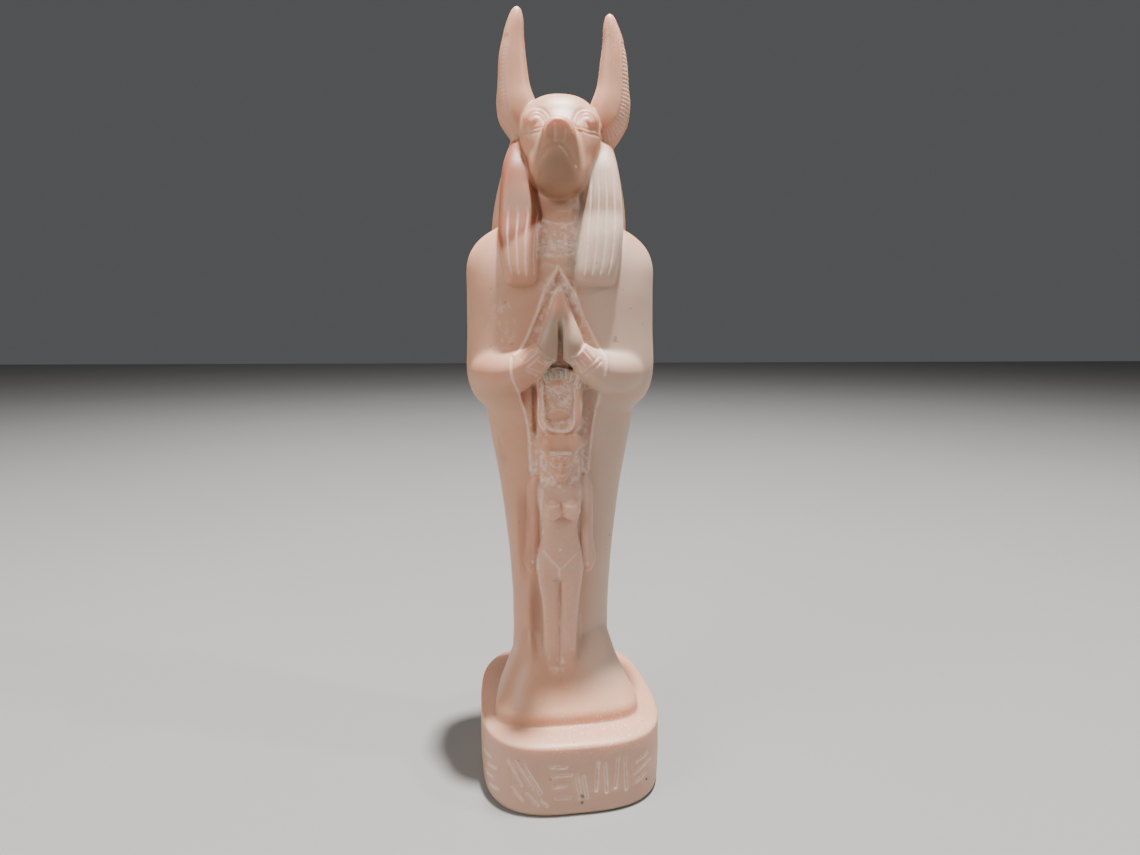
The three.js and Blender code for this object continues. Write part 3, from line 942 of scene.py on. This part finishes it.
def carve(piece):
    """Lowers the block along its lines and roughens its grounds, along each point's normal."""
    relief = Relief(piece)
    points, normals = mesh_points(piece), mesh_normals(piece)
    y, z = points[:, 1], points[:, 2]
    hand_rubbed = WIDE_RUB * mottle(points, 13, 1) + FINE_RUB * mottle(points, 6, 2)
    hand_rubbed *= step(z, 0.4, 3)
    lift = hand_rubbed + relief.raised_edge(points) - relief.lowering(points)
    lift -= locks(points)[0] + ear_ribs(points)[0]
    lift += TOOL_MARKS * tooled(points) * ragged(points, 0.9, 11)
    lift -= SLAB_GROOVE * step(distance(points, on_front(piece, SLAB_SIDE), 0.9), 0.9, 0.1)
    beside_legs = oval(points, -9.6, 57, 3, 17, 0.2) * step(y, -10, -12)
    lift -= LEG_HOLLOW * beside_legs
    lift -= PALM_GROOVE * step(distance(points, on_front(piece, PALMS), 1.3), 1.2, 0) * step(z, 154, 150)
    scratched = oval(points, -20, 153, 4.5, 9, 0.4) * step(y, -10, -14)
    lift -= SCRATCH * scratched * step(ragged(points, 1.6, 21), 0.2, 0.8)
    lift -= PIT * pits(points, 1, 0)
    set_points(piece, points + normals * lift[:, None])
    return relief


def soften_block(piece):
    """Rounds the block's inner corners, most where the photograph shows no edge at all."""
    points = mesh_points(piece)
    x, y, z = points.T
    sleeve = step(np.abs(x - FRONT_X - AXIS_X), 12, 16) * within(z, 121, 152, 4)
    ankles = within(z, 40, 62, 5)
    instep = 0.45 * within(z, 25, 42, 1)
    lappet_tops = 0.8 * within(z, 193, 209, 3) * step(np.abs(x), 11, 13) * step(y, 0, -3)
    jaw = 0.5 * within(z, 187, 208, 2) * step(np.abs(x + 2), 10, 8) * step(y, -7, -10) * step(z, 204, 199)
    cheeks = 0.6 * within(z, 194, 208.5, 1) * within(np.abs(x + 1.4), 6, 11.5, 1) * step(y, -4, -7)
    fingers = 0.6 * within(z, 151, 163, 2) * step(np.abs(x - FRONT_X - AXIS_X), 5, 4) * step(y, -16, -17)
    places = [sleeve, 0.6 * ankles, instep, lappet_tops, jaw, cheeks, fingers]
    strong = np.clip(np.maximum.reduce(places), 0, 1)
    group = piece.vertex_groups.new(name="rounded")
    levels = 10
    for level in range(1, levels + 1):
        chosen = np.nonzero(np.round(strong * levels) == level)[0]
        if len(chosen):
            group.add(chosen.tolist(), level / levels, "REPLACE")
    wide = int(40 * (FINE_GRAIN / GRAIN) ** 2)
    finish_with(piece, "SMOOTH", factor=0.5, iterations=max(2, wide // 5))
    finish_with(piece, "SMOOTH", factor=0.5, iterations=wide * 3, vertex_group="rounded")
    piece.vertex_groups.clear()


# Masks: what the stone's finish needs to know about each point, from 0 to 1


def beside_slab(points):
    """The groove left of the slab in the niche."""
    x, y, z = points.T
    return within(x, -10.5, -8.9, 0.3) * within(z, 118, 133, 1) * step(y, -12, -14)


# painted shade: the shade between and over the hands' palms, which the brown and greenish masks paint
def between_palms(points):
    return oval(points, -1.8, 147, 9, 11, 0.5) * step(points[:, 1], -19, -20.4)


def dust_at_feet(points):
    marks = oval(points, -3, 42, 4.2, 5, 0.4) * step(points[:, 1], -14, -16)
    return marks * step(ragged(points, 1, 54), -0.4, 0.6)


def chalk_and_light_mask(points, relief, ground):
    """Chalky where it is cut or tooled, and where it was scratched or dust was rubbed in. Also painted
    light: the goddess is lightened as lit stone, and short strokes at the eyes and mouth are painted
    glints.
    """
    x, y, z = points.T
    speckle = step(ragged(points, 1.1, 31), -0.3, 0.7)
    lines = relief.chalk_and_light(points) * (0.75 + 0.25 * mottle(points, 1.2, 32))
    frill = within(z, 133.4, 139, 0.6) * within(x, -9.6, 5.6, 0.4) * step(y, -18, -19)
    bare = np.maximum(frill, beside_slab(points))
    grounds = ground * (1 - bare) * (0.25 + 0.6 * speckle)
    chest = within(x, -7.6, 2, 1) * within(z, 161, 171, 2) * step(y, -13, -15) * step(y, -19, -18)
    # painted light: the goddess's figure is lightened as lit stone
    lit_figure = within(x, -10.8, 7.2, 0.5) * within(z, 46, 103, 3) * step(y, -15.4, -17)
    lit_figure_and_lines = 0.25 * lit_figure + 0.75 * lines
    scratched = oval(points, -19, 152, 4.6, 9, 0.4) * step(y, -10, -14)
    scratched *= step(ragged(points, 1.3, 53), 0.1, 0.7)
    throat = within(x, 0.6, 5, 1.2) * within(z, 182.6, 190, 1.5) * step(y, -8, -11)
    throat *= step(ragged(points, 1.5, 55), -0.4, 0.7)
    cut = [lines, grounds, locks(points)[1], 0.5 * ear_ribs(points)[1]]
    worn_and_lit = [0.4 * chest * speckle, lit_figure_and_lines, 0.6 * scratched, 0.6 * dust_at_feet(points), 0.6 * throat]
    return np.maximum.reduce(cut + worn_and_lit)


def grey_and_side_light_mask(points):
    """Greyer stone and painted light: the right lappet and the right side are painted greyer and lighter
    where the light from the right falls, and a little of the plinth's front is greyer stone.
    """
    x, y, z = points.T
    out, _, _ = off_column(points, lappet_rows(1), 3.2, AXIS_X + FRONT_X)
    lappet = step(np.abs(out), 2, 1) * step(z, 165, 169) * step(z, 208, 200) * step(y, -3, -7)
    # painted light: the right side greyer and lighter, as lit from the right
    right = 0.8 * step(x + 2.5 * mottle(points, 12, 51), -3, 12) * within(z, 34, 176, 6) * step(y, 12, 2)
    plinth_front = 0.35 * step(z, 26, 22) * step(y, -18, -26)
    return np.maximum.reduce([lappet, right, plinth_front])


def red_shade_mask(points):
    """Painted shade, red as the stone glows in its shadows: the head's shadow on the left lappet's upper
    part, and the shade in the hollows left of the slab, goddess and legs.
    """
    x, y, z = points.T
    _, _, across = off_column(points, lappet_rows(-1), 3.2, AXIS_X + FRONT_X)
    heights, _, _, fronts, _ = zip(*lappet_rows(-1))
    front = np.interp(z, heights, fronts)
    # painted shadow: the head's shadow on the left lappet, edged along a line where z rises 0.68 for each
    # unit x falls
    lappet = step(z - 0.68 * x, 186, 188.6) * within(across, -1.0, 1.05, 0.06) * step(y, -1, -5)
    lappet *= step(z, 213, 209) * step(y, front - 1.8, front - 0.9)
    by_legs = oval(points, -9.8, 58, 3.2, 18, 0.2) * within(y, -17, -8, 2)
    by_arm = within(x, -15.4, -12.4, 0.8) * within(z, 70, 97, 4) * step(y, -8, -10)
    return np.maximum.reduce([0.85 * lappet, 0.4 * by_legs, 0.35 * by_arm, 0.4 * beside_slab(points)])


def deposit_and_shade_mask(points):
    """The greenish deposit on the headdress's ragged top, and greenish painted shade between the hands."""
    y = points[:, 1]
    deposit = oval(points, -3.6, 137.6, 6, 3, 0.4) * step(y, -23, -22) * step(y, -11, -13)
    deposit *= step(ragged(points, 1.2, 52), -0.9, 0.1)
    # painted shade: the greenish darkening between the hands
    return np.maximum(deposit, 0.5 * between_palms(points))


def shade_and_smudge_mask(points):
    """Painted shade in brown: the lower face, painted as shade on a browner tone of the stone, one side of
    the collar, the shade between and under the hands, and the hollows; and a real brown smudge.
    """
    x, y, z = points.T
    nose = 0.6 * step(y, -15, -22) * step(z, 186, 189) * step(z, 210, 201) * step(np.abs(x + 1.4), 9.5, 8)
    jowls = 0.6 * within(z, 189, 198, 2) * step(np.abs(x + 0.7), 11.5, 9.5) * step(y, -11, -14)
    mouth = np.interp(x, *np.array(MOUTH).T)
    chin = step(z, mouth + 1, mouth - 3.5) * step(y, -11, -16) * step(z, 184, 188)
    # painted shade: darkens the lit strip of chest beside the right lappet's inner edge
    collar_side = 0.45 * within(x, 0.8, 3.2, 0.7) * within(z, 160, 177, 2)
    collar_side *= step(y, -12, -14) * step(y, -19.4, -18.8)
    under_hands = oval(points, 1.2, 139.4, 2.6, 1.8, 0.2) * step(y, -14, -16)
    smudge = oval(points, -20, 112, 2.4, 9, 0.2) * step(ragged(points, 3, 41), -0.2, 0.6)
    by_legs = oval(points, -9, 57, 3.2, 17, 0.2) * within(y, -16, -8, 1)
    by_arm = oval(points, -12.4, 91, 1.4, 10, 0.2) * step(y, -12, -13)
    face = [nose, jowls, chin, collar_side]
    below = [0.6 * between_palms(points), 0.8 * under_hands, 0.4 * smudge, 0.45 * by_legs, 0.5 * by_arm]
    return np.maximum.reduce(face + below)


def sugar_mask(points, ground):
    """Where broken crystals glitter: the plinth's upper edge, the tooled grounds and the feet."""
    x, y, z = points.T
    plinth_edge = within(z, 20, 28, 1.5) * step(y, -20, -26) * step(x, -14, 0)
    return np.maximum.reduce([plinth_edge, ground, dust_at_feet(points)])


def paint(piece, relief):
    """Keeps the masks as attributes of the piece's points."""
    points = mesh_points(piece)
    ground = tooled(points)
    masks = {
        "chalk_and_light": chalk_and_light_mask(points, relief, ground),
        "ground": ground,
        "grey_and_side_light": grey_and_side_light_mask(points),
        "red_shade": red_shade_mask(points),
        "deposit_and_shade": deposit_and_shade_mask(points),
        "shade_and_smudge": shade_and_smudge_mask(points),
        "sugar": sugar_mask(points, ground),
        "pits": pits(points, 1.3, 0.5),
    }
    for name, values in masks.items():
        attribute = piece.data.attributes.new(name, "FLOAT", "POINT")
        attribute.data.foreach_set("value", np.clip(values, 0, 1).astype(np.float32))


def make_sound(piece):
    """Takes out what the thinning left broken or loose."""
    piece.data.validate()
    bpy.ops.object.mode_set(mode="EDIT")
    bpy.ops.mesh.select_all(action="SELECT")
    bpy.ops.mesh.delete_loose(use_verts=True, use_edges=True, use_faces=True)
    bpy.ops.object.mode_set(mode="OBJECT")


def carve_statue():
    relief_forms = both(lambda side: column(lappet_rows(side), 3.2)) + both(arm) + goddess() + crown()
    head = skull_and_muzzle() + both(lambda side: column(ear_rows(side), 2.1)) + both(eye)
    block = fuse(body() + [column(WIG, 2.2)] + head + shift(relief_forms, FRONT_X), "carved_statue")
    soften_block(block)
    relief = carve(block)
    finish_with(block, "SMOOTH", factor=0.35, iterations=1)
    block.data.calc_loop_triangles()
    count = len(block.data.loop_triangles)
    if count > TRIANGLES:
        finish_with(block, "DECIMATE", ratio=TRIANGLES / count)
        make_sound(block)
    for face in block.data.polygons:
        face.use_smooth = True
    paint(block, relief)
    return block


# Finishes


class Value:
    """A shader socket that is reckoned with like a number."""

    def __init__(self, finish, socket):
        self.finish, self.socket = finish, socket

    def reckon(self, operation, other):
        return self.finish.node("Math", {0: self, 1: other}, operation=operation)

    def __add__(self, other):
        return self.reckon("ADD", other)

    def __mul__(self, other):
        return self.reckon("MULTIPLY", other)

    __radd__ = __add__
    __rmul__ = __mul__


class Finish:
    """A material, built node by node."""

    def __init__(self, name):
        self.material = bpy.data.materials.new(name)
        self.material.use_nodes = True
        self.tree = self.material.node_tree
        self.tree.nodes.clear()

    def node(self, kind, sockets, out=0, **settings):
        made = self.tree.nodes.new("ShaderNode" + kind)
        for key, value in settings.items():
            setattr(made, key, value)
        for key, value in sockets.items():
            if isinstance(value, Value):
                self.tree.links.new(value.socket, made.inputs[key])
            else:
                made.inputs[key].default_value = value
        return Value(self, made.outputs[out]) if len(made.outputs) else made

    def blend(self, share, first, second):
        sockets = {0: share, 6: first, 7: second}
        return self.node("Mix", sockets, out=2, data_type="RGBA")

    def noise(self, scale, detail, where):
        return self.node("TexNoise", {"Vector": where, "Scale": scale, "Detail": detail})

    def mask(self, name):
        return self.node("Attribute", {}, out=2, attribute_name=name)

    def between(self, value, low, high):
        sockets = {0: value, 1: low, 2: high}
        return self.node("MapRange", sockets, interpolation_type="SMOOTHSTEP")


# The stone's colours, and the colours of its painted shade and light
DEEP_PINK = (0.52, 0.27, 0.17, 1)
PALE_PINK = (0.64, 0.36, 0.24, 1)
VEIN_PINK = (0.58, 0.29, 0.19, 1)
CRYSTAL_WHITE = (0.95, 0.85, 0.76, 1)
GREY_AND_SIDE_LIGHT = (0.55, 0.47, 0.4, 1)
SPECK_BROWN = (0.2, 0.12, 0.09, 1)
SHADE_RED = (0.26, 0.07, 0.03, 1)
SHADE_BROWN = (0.26, 0.15, 0.09, 1)
DULL_CHALK = (0.76, 0.52, 0.43, 1)
BRIGHT_CHALK = (0.93, 0.76, 0.66, 1)
GREENISH = (0.34, 0.4, 0.34, 1)
PIT_DARK = (0.06, 0.04, 0.03, 1)


def stone():
    finish = Finish("stone")
    where = finish.node("TexCoord", {}, out=3)
    chalk_and_light, ground, grey_and_side_light = finish.mask("chalk_and_light"), finish.mask("ground"), finish.mask("grey_and_side_light")
    cloud = finish.noise(38, 3, where)
    veins = finish.noise(120, 4, where)
    fine = finish.noise(900, 3, where)
    crystals = finish.between(finish.noise(1500, 1, where), 0.62, 0.72)
    crystals = crystals * (0.06 + 0.8 * finish.mask("sugar"))
    specks = finish.between(finish.noise(420, 1, where), 0.76, 0.8)
    colour = finish.blend(cloud, DEEP_PINK, PALE_PINK)
    colour = finish.blend(finish.between(veins, 0.42, 0.7) * 0.45, colour, VEIN_PINK)
    colour = finish.blend(crystals * 0.6, colour, CRYSTAL_WHITE)
    # painted light: greyer and lighter on the lit right side and right lappet; greyer stone on the plinth's
    # front
    colour = finish.blend(grey_and_side_light * 0.65, colour, GREY_AND_SIDE_LIGHT)
    colour = finish.blend(specks * 0.5, colour, SPECK_BROWN)
    # painted shadow and shade, red: the head's shadow on the left lappet and the hollows beside slab,
    # goddess and legs
    colour = finish.blend(finish.mask("red_shade"), colour, SHADE_RED)
    # painted shade in brown, with a browner tone on the lower face, and a real brown smudge on the left
    # side
    colour = finish.blend(finish.mask("shade_and_smudge") * 0.85, colour, SHADE_BROWN)
    chalky = finish.blend(fine, DULL_CHALK, BRIGHT_CHALK)
    # chalk in the cuts and grounds, with painted light on the goddess and painted glints at the eyes and
    # mouth
    colour = finish.blend(chalk_and_light * (0.62 + 0.5 * fine), colour, chalky)
    # greenish deposit on the headdress, and greenish painted shade between the hands
    colour = finish.blend(finish.mask("deposit_and_shade") * 0.55, colour, GREENISH)
    colour = finish.blend(finish.mask("pits") * 0.9, colour, PIT_DARK)
    rough = 0.4 + 0.12 * veins + 0.4 * chalk_and_light + 0.3 * ground + 0.1 * grey_and_side_light
    height = 0.25 * veins + (0.2 + 1.6 * ground + 1.1 * chalk_and_light) * fine
    bumpy = finish.node("Bump", {"Strength": 0.35, "Distance": 0.0003, "Height": height})
    sockets = {
        "Base Color": colour,
        "Roughness": rough,
        "Normal": bumpy,
        "IOR": 1.5,
        "Subsurface Weight": 0.65,
        "Subsurface Radius": (0.9, 0.26, 0.14),
        "Subsurface Scale": 0.007,
    }
    shaded = finish.node("BsdfPrincipled", sockets)
    finish.node("OutputMaterial", {"Surface": shaded})
    return finish.material


def floor_finish():
    finish = Finish("pale_floor")
    where = finish.node("TexCoord", {}, out=3)
    colour = finish.blend(finish.noise(4, 2, where), (0.23, 0.23, 0.225, 1), (0.26, 0.255, 0.25, 1))
    shaded = finish.node("BsdfPrincipled", {"Base Color": colour, "Roughness": 0.85})
    finish.node("OutputMaterial", {"Surface": shaded})
    return finish.material


# The set


def place_floor():
    bpy.ops.object.select_all(action="DESELECT")
    bpy.ops.mesh.primitive_plane_add(size=6, location=(0, 0, 0))
    floor = bpy.context.object
    floor.name = "floor"
    floor.data.materials.append(floor_finish())


def light(name, size, power, place, target, colour=(1, 1, 1)):
    lamp = bpy.data.lights.new(name, "AREA")
    lamp.shape = "DISK"
    lamp.size = size
    lamp.energy = power
    lamp.color = colour
    holder = bpy.data.objects.new(name, lamp)
    bpy.context.scene.collection.objects.link(holder)
    holder.location = place
    aim = np.array(target) - np.array(place)
    holder.rotation_euler = (
        math.atan2(math.hypot(aim[0], aim[1]), -aim[2]),
        0,
        math.atan2(aim[1], aim[0]) - math.pi / 2,
    )


def light_set():
    middle = (0, 0, 0.13)
    light("key", 0.08, 6, (0.95, -0.32, 0.97), middle, (1, 0.98, 0.97))
    light("overhead", 0.07, 58, (0.08, -0.05, 1.35), middle, (1, 0.97, 0.94))
    light("fill", 0.5, 5, (-0.6, -0.4, 0.62), (0, 0, 0.12), (1, 0.96, 0.92))
    light("back", 0.6, 2, (-0.3, 1.0, 0.9), middle)
    world = bpy.data.worlds.new("studio")
    world.use_nodes = True
    background = world.node_tree.nodes["Background"]
    background.inputs["Color"].default_value = (0.75, 0.76, 0.78, 1)
    background.inputs["Strength"].default_value = 0.12
    bpy.context.scene.world = world


def place_camera():
    """Level with the waist and close, looking 8 degrees down, as the photograph was taken."""
    focal_px, width_px, sensor = 700, 1140, 36
    level_px, aside_px = 97.5, 10  # how far the horizon and the middle lie from the picture's centre
    reach, height, turn = 0.2351, 0.1502, math.radians(-3)
    down = math.atan(level_px / focal_px)
    place = (math.sin(turn) * reach, -math.cos(turn) * reach)
    heading = math.atan2(-place[0], -place[1]) + math.atan(aside_px / focal_px)
    lens = bpy.data.cameras.new("camera")
    lens.sensor_fit = "HORIZONTAL"
    lens.sensor_width = sensor
    lens.lens = sensor * focal_px / width_px
    lens.clip_start = 0.01
    camera = bpy.data.objects.new("camera", lens)
    camera.location = (place[0] + AXIS_X * MM, place[1], height)
    camera.rotation_euler = (math.pi / 2 - down, 0, -heading)
    bpy.context.scene.collection.objects.link(camera)
    bpy.context.scene.camera = camera


place_camera()
statue = carve_statue()
statue.data.materials.append(stone())
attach(statue, "root")
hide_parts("statue")
place_floor()
light_set()
